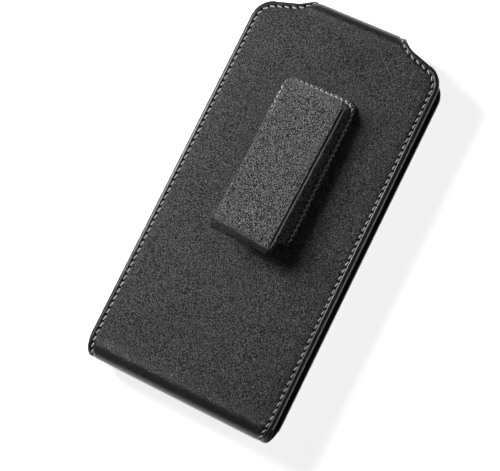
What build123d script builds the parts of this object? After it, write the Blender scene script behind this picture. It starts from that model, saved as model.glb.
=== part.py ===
from build123d import *
import math
import os

# A vertical belt case lying on its closed front: +Z out of the back panel, +X across it,
# +Y towards the flap fold, origin under the middle of the case on the surface it lies on.

# Case, millimetres
width = 82.0
length = 166.4
depth = 17.0                 # outer face of the front panel to outer face of the back panel
leather = 1.2
board = 1.0
lining = 0.6
shoulder_radius = 9.5
shoulder_turn = 65.0         # degrees that a shoulder turns before its slope begins
shoulder_start = 67.5        # height along Y where the straight side ends
slope_end = (27.3, 79.9)     # where the sloping shoulder meets the neck's concave curve
neck_at_fold = 24.1          # half the width where the back panel ends and the flap begins
bottom_radius = 6.0          # outer radius of each bottom bend
bottom_tuck = 3.0            # how far each side draws in over the bottom fold
tuck_height = 10.0           # height over the bottom fold at which it starts to draw in
front_top = 76.1
scoop_half = 20.0            # thumb scoop in the front panel's top edge
scoop_depth = 6.0

# Flap
flap_lining = 0.5
flap_board = 1.0
flap_gap = 0.3               # air between the closed tongue and the front panel
fold_radius = 5.2            # outer radius of the two flap folds
fold_split = 2.0             # degrees each side of a fold's middle left open between bodies
neck_half = 20.4             # half the width of the flap's narrowest stretch
neck_at_tongue = 20.7        # half the width where the tongue begins
tongue_half = 23.0
tongue_taper_end = 60.0      # Y at which the tongue reaches its full width
tongue_round_start = 12.0
tongue_tip = -8.0
magnet_radius = 6.0
magnet_spacing = 18.0
magnet_y = 5.0

# Stitching
stitch_inset = 2.0
thread = 0.4
thread_height = 0.25

# Gussets
gusset_thick = 0.8
gusset_inset = 1.6
gusset_low = -52.0
gusset_high = 30.0

# Belt clip
clip_width = 26.3
clip_top = 48.5
clip_bottom = -18.5
clip_rise = 9.0              # leaf's outer face over the back panel, at the bend
clip_bend_radius = 5.2       # outside of the bend's leather
clip_tilt = 3.4              # degrees that the leaf rises towards its open end
clip_leather = 1.4
spring = 0.8
spring_width = 24.0
clip_corner = 4.0
leg_low = -8.0
bend_fixed_end = 20.0        # degrees round the bend where the fixed half stops
bend_moving_start = 35.0
patch_half = 16.5
patch_top = 51.6
patch_low = -12.0
patch_thick = 1.6
patch_corner = 6.0
patch_stitch_inset = 1.2
rivet_radius = 1.5
rivet_head = 3.0
rivet_head_thick = 0.4
rivet_places = (4.0, 30.0)
rivet_clearance = 0.1

# Worked out
half = width / 2
end = length / 2
tongue_thick = leather + flap_board + flap_lining
front_z = tongue_thick + flap_gap
back_z = front_z + depth
wall = leather + board + lining
board_end = end - bottom_radius
fold_y = end - fold_radius
flap_board_end = fold_y - 2.0
back_fold = (fold_y, back_z - fold_radius)
front_fold = (fold_y, fold_radius)
bend_outer = clip_bend_radius
bend_z = back_z + clip_rise - bend_outer
bend_y = clip_top - bend_outer
spring_outer = bend_outer - clip_leather
leaf_reach = (bend_y - clip_bottom) / math.cos(math.radians(clip_tilt))
leaf_thick = 2 * clip_leather + spring
bend_top = 90.0 - clip_tilt
far = 120.0                  # past every edge of the case


def polygon(points, plane=Plane.XY):
    """A flat face with straight sides through the points, on a plane."""
    return plane * make_face(Polyline(*points, close=True))


def across(face, half_width):
    """A solid from a face in the YZ plane, drawn out equally to left and right."""
    return extrude(face, amount=half_width, both=True)


def upright(face, low, high):
    """A solid from a face in the XY plane, standing between two heights."""
    return Pos(0, 0, low) * extrude(face, amount=high - low)


def slab(x, y, z):
    """A box between two X, two Y and two Z values."""
    size = [b - a for a, b in (x, y, z)]
    middle = [(a + b) / 2 for a, b in (x, y, z)]
    return Pos(*middle) * Box(*size)


def plan(closing):
    """A panel's outline seen from above, up its right side and mirrored to its left.
    closing draws the top edge from the shoulder's end to the middle line."""
    turn = math.radians(shoulder_turn)
    centre_x = half - shoulder_radius
    shoulder_end = (
        centre_x + shoulder_radius * math.cos(turn),
        shoulder_start + shoulder_radius * math.sin(turn),
    )
    shoulder_mid = (
        centre_x + shoulder_radius * math.cos(turn / 2),
        shoulder_start + shoulder_radius * math.sin(turn / 2),
    )
    tuck_radius = (bottom_tuck**2 + tuck_height**2) / (2 * bottom_tuck)
    tuck_turn = math.asin(tuck_height / tuck_radius)
    tuck_start = (half, tuck_height - end)
    tuck_mid = (
        half - tuck_radius * (1 - math.cos(tuck_turn / 2)),
        tuck_height - end - tuck_radius * math.sin(tuck_turn / 2),
    )
    tuck_end = (half - bottom_tuck, -end)
    edges = [
        Line((0, tuck_end[1]), tuck_end),
        ThreePointArc(tuck_end, tuck_mid, tuck_start),
        Line(tuck_start, (half, shoulder_start)),
        ThreePointArc((half, shoulder_start), shoulder_mid, shoulder_end),
        *closing(shoulder_end),
    ]
    right = make_face([*edges, Line((0, edges[-1].end_point().Y), (0, tuck_end[1]))])
    return right + mirror(right, about=Plane.YZ)


def back_closing(start):
    """The shoulder's slope, then the neck up past the flap fold."""
    neck = (neck_at_fold, end - fold_radius * (1 - math.cos(math.radians(45))))
    top = end + 1.0
    return [
        Line(start, slope_end),
        Line(slope_end, neck),
        Line(neck, (neck_half, top)),
        Line((neck_half, top), (0, top)),
    ]


def front_closing(start):
    """The front panel's top edge with its thumb scoop."""
    scoop_mid = (0.5 * scoop_half, front_top - 0.77 * scoop_depth)
    return [
        Line(start, (scoop_half, start[1])),
        ThreePointArc((scoop_half, start[1]), scoop_mid, (0, front_top - scoop_depth)),
    ]


def case_section(inset):
    """The case's lengthwise section, inset from its outer face, open-ended at the top."""
    low_y = -end + inset
    low_z = front_z + inset
    high_z = back_z - inset
    face = polygon([(low_y, low_z), (far, low_z), (far, high_z), (low_y, high_z)])
    corners = face.vertices().sort_by(Axis.X)[:2]
    return Plane.YZ * fillet(corners, bottom_radius - inset)


def flap_section(inset):
    """The closed flap's lengthwise section, inset from its outer face."""
    high_y = end - inset
    high_z = back_z - inset
    face = polygon([(-far, inset), (high_y, inset), (high_y, high_z), (-far, high_z)])
    corners = face.vertices().sort_by(Axis.X)[2:]
    return Plane.YZ * fillet(corners, fold_radius - inset)


def ray(centre, degrees):
    """A point well outside the case, out from a fold's centre."""
    angle = math.radians(degrees)
    return (centre[0] + far * math.cos(angle), centre[1] + far * math.sin(angle))


def back_side():
    """The part of the flap's section that stays with the back panel."""
    return polygon(
        [(0, back_fold[1]), back_fold, ray(back_fold, 45 + fold_split), (0, far)], Plane.YZ
    )


def spine_side():
    """The part of the flap's section between the two folds."""
    high_side = [back_fold, ray(back_fold, 45 - fold_split)]
    low_side = [ray(front_fold, fold_split - 45), front_fold]
    return polygon(high_side + low_side, Plane.YZ)


def tongue_side():
    """The part of the flap's section beyond the front fold."""
    corners = [(-far, front_fold[1]), front_fold, ray(front_fold, -45 - fold_split), (-far, -far)]
    return polygon(corners, Plane.YZ)


def yz_box(y, z):
    """A rectangle in the YZ plane between two Y and two Z values."""
    return polygon([(y[0], z[0]), (y[1], z[0]), (y[1], z[1]), (y[0], z[1])], Plane.YZ)


def disc(x, y, radius, low, high):
    """An upright cylinder between two heights."""
    standing = (Align.CENTER, Align.CENTER, Align.MIN)
    return Pos(x, y, low) * Cylinder(radius, high - low, align=standing)


def rivet_cylinders(radius, low, high):
    return [disc(0, y, radius, low, high) for y in rivet_places]


def magnet_discs(low, high):
    places = (-magnet_spacing / 2, magnet_spacing / 2)
    return [disc(x, magnet_y, magnet_radius, low, high) for x in places]


def without(solid, cutters):
    """A solid with each of the cutters taken out of it."""
    for cutter in cutters:
        solid = solid - cutter
    return solid


def layer(section, inset, thickness):
    """A strip of even thickness following a section, starting at an inset from its outside."""
    return section(inset) - section(inset + thickness)


def outer_wrap():
    """One piece of leather: back panel, bottom fold and front panel."""
    back_strip = layer(flap_section, 0, leather) & back_side()
    wrap_strip = layer(case_section, 0, leather) & yz_box((-far, 1), (0, far))
    front_strip = yz_box((0, front_top), (front_z, front_z + leather))
    back_part = across(back_strip + wrap_strip, half) & upright(plan(back_closing), 0, far)
    front_part = across(front_strip, half) & upright(plan(front_closing), 0, far)
    wrap = back_part + front_part
    return without(wrap, rivet_cylinders(rivet_radius, back_z - leather, back_z))


def pocket_lining():
    """One piece of cloth inside the pocket. It steps out at the bottom, past the boards."""
    flats = layer(case_section, leather + board, lining) & yz_box((-board_end, fold_y), (0, far))
    bottom = layer(case_section, leather, lining) & yz_box((-far, -board_end), (0, far))
    low, high = front_z + leather, back_z - leather
    step = (-board_end - lining, -board_end)
    steps = yz_box(step, (low, low + board + lining)) + yz_box(step, (high - board - lining, high))
    strip = (flats + bottom + steps) & case_section(leather)
    cloth = across(strip, half - gusset_inset)
    front_zone = slab((-half, half), (0, far), (front_z, front_z + depth / 2))
    front_part = (cloth & front_zone) & upright(plan(front_closing), 0, far)
    back_part = (cloth - front_zone) & upright(plan(back_closing), 0, far)
    rivet_tail = high - board - rivet_head_thick
    recesses = rivet_cylinders(rivet_head + rivet_clearance, rivet_tail, high - board)
    return without(back_part + front_part, recesses)


def back_board():
    """Stiffening board between the back's leather and the lining."""
    high = back_z - leather
    sheet = upright(plan(back_closing), high - board, high)
    sheet = sheet & slab((-far, far), (-board_end, fold_y), (0, far))
    return without(sheet, rivet_cylinders(rivet_radius, high - board, high))


def front_board():
    """Stiffening board in the front panel, with a hole for each steel keeper."""
    low = front_z + leather
    sheet = upright(plan(front_closing), low, low + board)
    sheet = sheet & slab((-far, far), (-board_end, far), (0, far))
    return without(sheet, magnet_discs(low, low + board))


def keepers():
    """Steel discs in the front panel that the flap's magnets hold."""
    low = front_z + leather
    return magnet_discs(low, low + board)


def gusset(side):
    """An elastic strip that closes one side of the pocket."""
    outer = half - gusset_inset
    x = sorted((side * outer, side * (outer - gusset_thick)))
    return slab(x, (gusset_low, gusset_high), (front_z + wall, back_z - wall))


def stitch_strip(outline, inset, low):
    """A sewn thread following an outline, inset from it, standing on a face."""
    ring = offset(outline, -inset + thread / 2) - offset(outline, -inset - thread / 2)
    return upright(ring, low, low + thread_height)


def back_thread():
    """The back panel's two rows of stitches, up the sides and round the shoulders."""
    strip = stitch_strip(plan(back_closing), stitch_inset, back_z)
    return strip & slab((-far, far), (-board_end, fold_y), (0, far))


def front_thread():
    """The front panel's stitches, in the air gap beside the closed tongue."""
    strip = stitch_strip(plan(front_closing), stitch_inset, front_z - thread_height)
    strip = strip & slab((-far, far), (-board_end, front_top - 1.5 * stitch_inset), (0, far))
    return strip - slab((-scoop_half, scoop_half), (-far, far), (0, far))


# The flap

def spine_outline():
    """The spine between the folds, as seen from the top end: X across, Y upwards."""
    low = back_fold[1] - fold_radius
    top = back_fold[1] + fold_radius * math.sin(math.radians(45))
    right = make_face([
        Line((0, 0), (neck_at_tongue, 0)),
        Line((neck_at_tongue, 0), (neck_half, front_fold[1])),
        Line((neck_half, front_fold[1]), (neck_half, low)),
        ThreePointArc((neck_half, low), (neck_half + 0.9, back_fold[1]), (neck_at_fold, top)),
        Line((neck_at_fold, top), (neck_at_fold, back_z)),
        Line((neck_at_fold, back_z), (0, back_z)),
        Line((0, back_z), (0, 0)),
    ])
    outline = right + mirror(right, about=Plane.YZ)
    return extrude(Plane.XZ * outline, amount=-far)


def spine_leather():
    return across(layer(flap_section, 0, leather) & spine_side(), half) & spine_outline()


def spine_lining():
    return across(layer(flap_section, leather, flap_lining) & spine_side(), half) & spine_outline()


def tongue_outline(inset=0.0):
    """The tongue laid on the front: a tapered neck, parallel sides and a rounded tip."""
    side = tongue_half - inset
    neck = neck_at_tongue - inset
    tip = tongue_tip + inset
    tip_arc = EllipticalCenterArc(
        (0, tongue_round_start), side, tongue_round_start - tip, start_angle=270, arc_size=90
    )
    right = make_face([
        tip_arc,
        Line((side, tongue_round_start), (side, tongue_taper_end)),
        Line((side, tongue_taper_end), (neck, end + 1)),
        Line((neck, end + 1), (0, end + 1)),
        Line((0, end + 1), (0, tip)),
    ])
    return right + mirror(right, about=Plane.YZ)


def tongue_stitch_groove():
    """The sunk line that the tongue's thread lies in."""
    ring = tongue_outline(stitch_inset - thread / 2) - tongue_outline(stitch_inset + thread / 2)
    return upright(ring, 0, thread_height) & slab((-far, far), (-far, fold_y - 1), (-1, far))


def tongue_leather():
    strip = layer(flap_section, 0, leather) & tongue_side()
    return (across(strip, half) & upright(tongue_outline(), -1, far)) - tongue_stitch_groove()


def tongue_thread():
    return tongue_stitch_groove()


def tongue_board():
    """The tongue's stiffener, with a hole for each magnet."""
    sheet = upright(tongue_outline(), leather, leather + flap_board)
    sheet = sheet & slab((-far, far), (-far, flap_board_end), (0, far))
    return without(sheet, magnet_discs(leather, leather + flap_board))


def magnets():
    return magnet_discs(leather, leather + flap_board)


def tongue_lining():
    low = leather + flap_board
    flat = upright(tongue_outline(), low, low + flap_lining)
    flat = flat & slab((-far, far), (-far, flap_board_end), (0, far))
    strip = layer(flap_section, leather, flap_lining) & tongue_side()
    bend = across(strip, half) & upright(tongue_outline(), -1, far)
    bend = bend & slab((-far, far), (flap_board_end, far), (0, far))
    riser_y = (flap_board_end, flap_board_end + flap_lining)
    riser = slab((-neck_half, neck_half), riser_y, (leather, low + flap_lining))
    return flat + bend + riser


# The belt clip

def bend_piece(outer, thickness, start, stop):
    """Part of the clip's U bend, as a face in the YZ plane, between two angles."""
    centre = (bend_y, bend_z)
    ring = Pos(*centre) * (Circle(outer) - Circle(outer - thickness))
    steps = max(2, math.ceil((stop - start) / 60) + 1)
    angles = [start + (stop - start) * i / (steps - 1) for i in range(steps)]
    fan = make_face(Polyline(centre, *[ray(centre, a) for a in angles], close=True))
    return Plane.YZ * (ring & fan)


def leaf_strip(outer, thickness, reach):
    """The clip leaf's straight part, leaving the bend along its tangent."""
    run = Rot(0, 0, -clip_tilt) * Pos(-reach / 2, outer - thickness / 2) * Rectangle(reach, thickness)
    return Plane.YZ * (Pos(bend_y, bend_z) * run)


def clip_outline():
    """The clip seen from above: square at its open end, rounded at the bend."""
    face = polygon([
        (-clip_width / 2, clip_bottom - 1),
        (clip_width / 2, clip_bottom - 1),
        (clip_width / 2, clip_top),
        (-clip_width / 2, clip_top),
    ])
    corners = face.vertices().sort_by(Axis.Y)[2:]
    return fillet(corners, clip_corner)


def clip_outer_cover():
    """Leather over the leaf's outer face, round its open end and over the bend."""
    tip = leaf_thick / 2
    strip = leaf_strip(bend_outer, clip_leather, leaf_reach - tip)
    bend = bend_piece(bend_outer, clip_leather, bend_moving_start, bend_top)
    tip_ring = Circle(tip) - Circle(tip - clip_leather)
    tip_ring = tip_ring & (Pos(-tip, 0) * Rectangle(2 * tip, 4 * tip))
    tip_ring = Rot(0, 0, -clip_tilt) * Pos(-(leaf_reach - tip), bend_outer - tip) * tip_ring
    tip_face = Plane.YZ * (Pos(bend_y, bend_z) * tip_ring)
    return across(strip + bend + tip_face, clip_width / 2) & upright(clip_outline(), 0, far)


def clip_inner_cover():
    """Leather under the leaf, facing the belt."""
    start = clip_corner
    run = leaf_reach - leaf_thick / 2 - start
    middle = (-start - run / 2, bend_outer - leaf_thick + clip_leather / 2)
    strip = Rot(0, 0, -clip_tilt) * Pos(*middle) * Rectangle(run, clip_leather)
    return across(Plane.YZ * (Pos(bend_y, bend_z) * strip), clip_width / 2)


def clip_leaf_spring():
    """The moving half of the steel spring: part of the bend and the leaf."""
    bend = bend_piece(spring_outer, spring, bend_moving_start, bend_top)
    strip = leaf_strip(spring_outer, spring, leaf_reach - leaf_thick / 2)
    return across(bend + strip, spring_width / 2)


def clip_base_spring():
    """The fixed half of the steel spring: the leg under the patch and part of the bend."""
    bend = bend_piece(spring_outer, spring, -90, bend_fixed_end)
    leg = yz_box((leg_low, bend_y), (back_z, back_z + spring))
    solid = across(bend + leg, spring_width / 2)
    return without(solid, rivet_cylinders(rivet_radius, back_z, back_z + spring))


def clip_bend_cover():
    """Leather over the fixed part of the bend, from the patch upwards."""
    on_patch = back_z + patch_thick
    bend = bend_piece(bend_outer, clip_leather, -90, bend_fixed_end)
    bend = bend & yz_box((0, far), (on_patch, far))
    return across(bend, clip_width / 2) & upright(clip_outline(), 0, far)


def patch_outline(inset=0.0):
    """The patch sewn over the spring's leg, inset from its edge."""
    x = patch_half - inset
    face = polygon([(-x, patch_low), (x, patch_low), (x, patch_top - inset), (-x, patch_top - inset)])
    corners = face.vertices().sort_by(Axis.Y)[2:]
    return fillet(corners, patch_corner - inset)


def clip_patch():
    """Leather patch, hollowed for the spring's leg and slotted where the bend comes out."""
    patch = upright(patch_outline(), back_z, back_z + patch_thick)
    x = (-spring_width / 2, spring_width / 2)
    hollow = slab(x, (leg_low, bend_y), (back_z, back_z + spring))
    slot = slab(x, (bend_y, bend_y + spring_outer), (back_z, back_z + patch_thick))
    heads = rivet_cylinders(rivet_head, back_z + spring, back_z + spring + rivet_head_thick)
    return without(patch, [hollow, slot, *heads])


def patch_thread():
    outside = patch_outline(patch_stitch_inset - thread / 2)
    ring = outside - patch_outline(patch_stitch_inset + thread / 2)
    low = back_z + patch_thick
    clear_of_end = slab((-far, far), (patch_low + 1, far), (0, far))
    return upright(ring, low, low + thread_height) & clear_of_end


def clip_rivets():
    """Rivets through the spring's leg, the back leather and its board."""
    low = back_z - leather - board
    top = back_z + spring
    rivets = []
    parts = zip(
        rivet_cylinders(rivet_radius, low, top),
        rivet_cylinders(rivet_head, top, top + rivet_head_thick),
        rivet_cylinders(rivet_head, low - rivet_head_thick, low),
    )
    for shank, head, tail in parts:
        rivets.append(shank + head + tail)
    return rivets


def write(name, shape):
    """One STEP file for one node; a list is several solids in one node."""
    solids = []
    for item in shape if isinstance(shape, list) else [shape]:
        solids.extend(item.solids())
    node = solids[0] if len(solids) == 1 else Compound(children=solids)
    export_step(node, f"parts/{name}.step")


os.makedirs("parts", exist_ok=True)
nodes = {
    "outer_wrap": outer_wrap(),
    "back_board": back_board(),
    "front_board": front_board(),
    "pocket_lining": pocket_lining(),
    "keeper_discs": keepers(),
    "gusset_left": gusset(-1),
    "gusset_right": gusset(1),
    "back_thread": back_thread(),
    "front_thread": front_thread(),
    "spine_leather": spine_leather(),
    "spine_lining": spine_lining(),
    "tongue_leather": tongue_leather(),
    "tongue_board": tongue_board(),
    "tongue_lining": tongue_lining(),
    "tongue_thread": tongue_thread(),
    "flap_magnets": magnets(),
    "clip_base_spring": clip_base_spring(),
    "clip_bend_cover": clip_bend_cover(),
    "clip_patch": clip_patch(),
    "patch_thread": patch_thread(),
    "clip_rivets": clip_rivets(),
    "clip_leaf_spring": clip_leaf_spring(),
    "clip_outer_cover": clip_outer_cover(),
    "clip_inner_cover": clip_inner_cover(),
}
for node_name, node_shape in nodes.items():
    write(node_name, node_shape)
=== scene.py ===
import math

import bpy
import numpy as np
from mathutils import Matrix, Vector
from mathutils.geometry import delaunay_2d_cdt
from mathutils.kdtree import KDTree


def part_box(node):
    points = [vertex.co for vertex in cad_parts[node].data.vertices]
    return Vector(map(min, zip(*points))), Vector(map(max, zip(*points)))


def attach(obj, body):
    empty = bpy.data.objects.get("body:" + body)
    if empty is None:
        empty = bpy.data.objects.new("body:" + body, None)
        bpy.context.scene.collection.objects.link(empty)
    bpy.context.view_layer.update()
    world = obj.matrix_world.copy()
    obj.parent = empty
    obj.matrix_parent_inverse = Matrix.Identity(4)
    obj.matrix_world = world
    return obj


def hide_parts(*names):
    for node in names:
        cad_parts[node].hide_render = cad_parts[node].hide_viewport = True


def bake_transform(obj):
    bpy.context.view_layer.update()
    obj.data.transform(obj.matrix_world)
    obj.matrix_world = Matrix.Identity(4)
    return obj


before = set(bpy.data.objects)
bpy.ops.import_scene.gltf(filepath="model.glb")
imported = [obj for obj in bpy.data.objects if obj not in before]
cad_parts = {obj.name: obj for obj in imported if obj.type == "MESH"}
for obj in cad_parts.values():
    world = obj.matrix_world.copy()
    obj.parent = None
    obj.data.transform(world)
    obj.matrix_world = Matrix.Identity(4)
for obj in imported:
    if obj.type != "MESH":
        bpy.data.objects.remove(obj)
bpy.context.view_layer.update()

# Lengths are in millimetres, in the CAD model's frame, until a mesh, light or camera is made.
# Leather, cloth and boards are drawn flat, as they were cut: x across, v along the strip.
mm = 0.001


def low(node, axis):
    """A CAD node's lowest X, Y or Z (axis 0, 1 or 2)."""
    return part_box(node)[0][axis] / mm


def high(node, axis):
    """A CAD node's highest X, Y or Z."""
    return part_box(node)[1][axis] / mm


# The case, from the CAD model; its folds bulge out a little further than their boards
fold_bulge = 1.3
bottom_bulge = 0.5
half = high("outer_wrap", 0)
bottom = low("outer_wrap", 1) - bottom_bulge
back_z = high("outer_wrap", 2)
front_z = low("outer_wrap", 2)
spine_y = high("spine_leather", 1) + fold_bulge
front_top = high("front_board", 1)
tongue_half = high("tongue_leather", 0)
tongue_tip = low("tongue_leather", 1)
spine_middle_z = back_z / 2

# Thicknesses and radii
leather = 1.2
board = 1.0
cloth = 0.6
bottom_radius = 6.0
fold_radius = 5.2
fold_y = spine_y - fold_radius
shoulder_radius = 9.5
shoulder_start = 67.5
shoulder_turn = 65.0
neck_half = 20.4
neck_radius = 9.0            # concave curve from the shoulder's slope into the neck
back_turn = 72.0             # the back's shoulders turn further than the front's
back_rise = 0.5
tuck = 1.4                   # how far each side draws in over the bottom fold
tuck_height = 10.0
scoop_half = 20.0
scoop_depth = 6.0
tongue_taper_end = 60.0
tongue_round_start = 12.0

# Sewing
stitch_inset = 2.0
stitch_pitch = 3.0
groove_depth = 0.52          # a steep wall by the margin, a gentle slope inside
stitch_slant = 0.30          # how far a stitch's ends lie to either side of its row
thread_radius = 0.21
thread_rise = 0.18           # how far its middle stands over the face that it is sewn to
thread_dive = 1.30           # how far it goes down at a hole


# ---- lines in the YZ plane

class Section:
    """A line in the YZ plane, walked along v: straight runs and right-hand bends.
    The outside is on its left."""

    def __init__(self, v, y, z, heading):
        self.parts = []
        self.start = v
        self.v, self.y, self.z, self.heading = v, y, z, math.radians(heading)

    def run(self, length):
        self.parts.append((self.v, self.y, self.z, self.heading, 0.0))
        self.y += length * math.cos(self.heading)
        self.z += length * math.sin(self.heading)
        self.v += length
        return self

    def bend(self, radius, turn):
        self.parts.append((self.v, self.y, self.z, self.heading, -1.0 / radius))
        end = self.heading - math.radians(turn)
        self.y += (math.sin(self.heading) - math.sin(end)) * radius
        self.z += (math.cos(end) - math.cos(self.heading)) * radius
        self.v += radius * math.radians(turn)
        self.heading = end
        return self

    def at(self, v, h=0.0):
        """Y and Z of the points at v, h outside the line."""
        v = np.asarray(v, float)
        parts = np.array(self.parts)
        i = np.clip(np.searchsorted(parts[:, 0], v, side="right") - 1, 0, len(parts) - 1)
        v0, y0, z0, heading, curve = parts[i].T
        turned = heading + curve * (v - v0)
        straight = np.abs(curve) < 1e-9
        k = np.where(straight, 1.0, curve)
        y = y0 + np.where(straight, (v - v0) * np.cos(heading), (np.sin(turned) - np.sin(heading)) / k)
        z = z0 + np.where(straight, (v - v0) * np.sin(heading), (np.cos(heading) - np.cos(turned)) / k)
        return y - h * np.sin(turned), z + h * np.cos(turned)

    def place(self, x, v, h):
        """The points at x, v and height h over the line, as an array."""
        y, z = self.at(v, h)
        return np.stack([x + 0 * y, y, z], axis=1)

    def rows(self, first, last, flat_step, bend_step):
        """Values of v close enough together for the bends to look round."""
        ends = [p[0] for p in self.parts[1:]] + [self.v]
        found = []
        for (start, _, _, _, curve), end in zip(self.parts, ends):
            a, b = max(start, first), min(end, last)
            if b > a:
                step = bend_step if curve else flat_step
                found.extend(np.linspace(a, b, max(2, math.ceil((b - a) / step) + 1))[:-1])
        return np.array(found)


def wrap_section():
    """The leather's outer face: front panel, bottom, back panel, spine and tongue.
    v is Y on the back panel."""
    back_low = bottom + bottom_radius
    wall = back_z - front_z - 2 * bottom_radius
    front_run = front_top - back_low
    bends = math.pi * bottom_radius
    line = Section(back_low - bends - wall - front_run, front_top, front_z, 180)
    line.run(front_run).bend(bottom_radius, 90).run(wall).bend(bottom_radius, 90)
    line.run(fold_y - back_low).bend(fold_radius, 90)
    line.run(back_z - 2 * fold_radius).bend(fold_radius, 90).run(fold_y - tongue_tip)
    return line


def lining_section():
    """The pocket lining's outer face, from the front panel's top to the middle of the spine."""
    inset = leather + board
    low_z, high_z = front_z + inset, back_z - inset
    wall_y = bottom + leather
    radius = bottom_radius - inset
    start_y = front_top - 1.0
    flat_low = wall_y + radius
    top_radius = 3.0
    spine_inner = spine_y - leather
    wall = high_z - low_z - 2 * radius
    start_v = flat_low - math.pi * radius - wall - (start_y - flat_low)
    line = Section(start_v, start_y, low_z, 180)
    line.run(start_y - flat_low).bend(radius, 90).run(wall).bend(radius, 90)
    line.run(spine_inner - top_radius - flat_low).bend(top_radius, 90)
    return line.run(high_z - top_radius - spine_middle_z)


wrap_line = wrap_section()
fold_length = fold_radius * math.pi / 2
lining_wide = half - 1.6     # half its width, inside the gussets
seam_v = fold_y + fold_length + (back_z - fold_radius - spine_middle_z)
tongue_v = seam_v + (spine_middle_z - fold_radius) + fold_length   # where the tongue lies flat
lining_line = lining_section()


# ---- outlines, drawn flat

def arc(centre, radius, start, stop, step=0.2):
    """Points round an arc between two angles."""
    turn = math.radians(stop - start)
    n = max(2, math.ceil(abs(turn) * radius / step))
    angles = math.radians(start) + turn * np.arange(n + 1) / n
    return np.array(centre) + radius * np.stack([np.cos(angles), np.sin(angles)], axis=1)


def lengths(points):
    """How far along the polyline each of its points is."""
    return np.concatenate([[0], np.cumsum(np.linalg.norm(np.diff(points, axis=0), axis=1))])


def points_at(points, at):
    """The polyline's points at the given distances along it."""
    return np.column_stack([np.interp(at, lengths(points), values) for values in points.T])


def spaced(points, step):
    """The polyline again with points evenly spaced, its ends kept."""
    points = np.asarray(points, float)
    length = lengths(points)[-1]
    return points_at(points, np.linspace(0, length, max(2, round(length / step) + 1)))


def smooth(t):
    t = np.clip(t, 0, 1)
    return t * t * (3 - 2 * t)


def bell(distance, width):
    """1 at no distance, falling off to either side."""
    return np.exp(-((distance / width) ** 2))


def side_at(y):
    """Half the case's width at Y: straight, then drawn in over the bottom fold."""
    radius = (tuck**2 + tuck_height**2) / (2 * tuck)
    below = np.clip(bottom + tuck_height - y, 0, tuck_height)
    return half - (radius - np.sqrt(radius**2 - below**2))


def shoulder(centre_v, turn):
    """A shoulder's arc from the straight side on, up or, with a negative turn, down in v."""
    return arc((half - shoulder_radius, centre_v), shoulder_radius, 0, turn)


def front_v(y):
    """v on the front panel for a given Y."""
    return wrap_line.start + front_top - y


def back_top():
    """The back's right edge from the straight side's end up to the seam in the spine."""
    curve_v = 88.1
    top = shoulder(shoulder_start + back_rise, back_turn)
    neck = arc((neck_half + neck_radius, curve_v), neck_radius, 180 + back_turn, 180)
    return np.concatenate([top, neck, [(neck_half, seam_v)]])


def scoop(first_v):
    """The thumb scoop's right half in an end that starts at first_v, from the middle on."""
    x = np.linspace(0, scoop_half, 60)
    return np.stack([x, first_v + scoop_depth * (1 - (x / scoop_half) ** 2) ** 1.3], axis=1)


def front_half():
    """The front's right edge from its top's middle, through the scoop, to the straight side."""
    side = shoulder(front_v(shoulder_start), -shoulder_turn)[::-1]
    return np.concatenate([scoop(front_v(front_top)), side])


def mirrored(right):
    """The whole edge from its right half, which starts on the middle line."""
    return np.concatenate([(right * (-1, 1))[::-1], right[1:]])


def wrap_edge():
    """The wrap's free edge, from the seam down its left side and round to the seam again."""
    v = np.linspace(front_v(bottom + tuck_height), bottom + tuck_height, 200)
    bottom_side = np.stack([side_at(wrap_line.at(v)[0]), v], axis=1)
    right = np.concatenate([front_half(), bottom_side, back_top()])
    return mirrored(right)


def flap_side(v):
    """Half the flap's width, from the neck to the tongue's parallel sides."""
    taper_end = tongue_v + fold_y - tongue_taper_end
    return neck_half + (tongue_half - neck_half) * smooth((v - 92.0) / (taper_end - 92.0))


def flap_edge():
    """The flap's free edge, from the seam up its right side, round the tip and back."""
    round_v = tongue_v + fold_y - tongue_round_start
    length = tongue_round_start - tongue_tip
    v = np.linspace(seam_v, round_v, 160)
    side = np.stack([flap_side(v), v], axis=1)
    tip = arc((0, 0), 1, 0, 90, 0.02) * (tongue_half, length) + (0, round_v)
    right = np.concatenate([side, tip[1:]])
    return np.concatenate([right, (right * (-1, 1))[::-1][1:]])


def inward(points):
    """For each point of an anticlockwise edge, the direction into the piece."""
    ahead = np.gradient(points, axis=0)
    ahead /= np.linalg.norm(ahead, axis=1)[:, None]
    return np.stack([-ahead[:, 1], ahead[:, 0]], axis=1)


def tree_of(points):
    tree = KDTree(len(points))
    for i, p in enumerate(points):
        tree.insert((p[0], p[1], 0), i)
    tree.balance()
    return tree


def away(points, tree):
    """How far each point is from the nearest point of the tree."""
    return np.array([tree.find((p[0], p[1], 0))[2] for p in points])


def inset_line(edge, distance, step):
    """A line at an even distance inside an edge."""
    fine = spaced(edge, 0.2)
    line = fine + inward(fine) * distance
    keep = away(line, tree_of(fine)) > distance - 0.05
    return spaced(line[keep], step)


# ---- meshes

def placed(name, data):
    """A new object in the scene."""
    thing = bpy.data.objects.new(name, data)
    bpy.context.scene.collection.objects.link(thing)
    return thing


def finished(name, points, faces, facts, sharp=50):
    """A mesh object from millimetres, smooth but for its corners, with named values per point."""
    data = bpy.data.meshes.new(name)
    data.from_pydata([tuple(p) for p in np.asarray(points) * mm], [], faces)
    data.update()
    for fact, values in facts.items():
        values = np.asarray(values, np.float32)
        kind, field = ("FLOAT_VECTOR", "vector") if values.ndim == 2 else ("FLOAT", "value")
        data.attributes.new(fact, kind, "POINT").data.foreach_set(field, values.ravel())
    data.polygons.foreach_set("use_smooth", [True] * len(data.polygons))
    data.set_sharp_from_angle(angle=math.radians(sharp))
    return placed(name, data)


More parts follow.
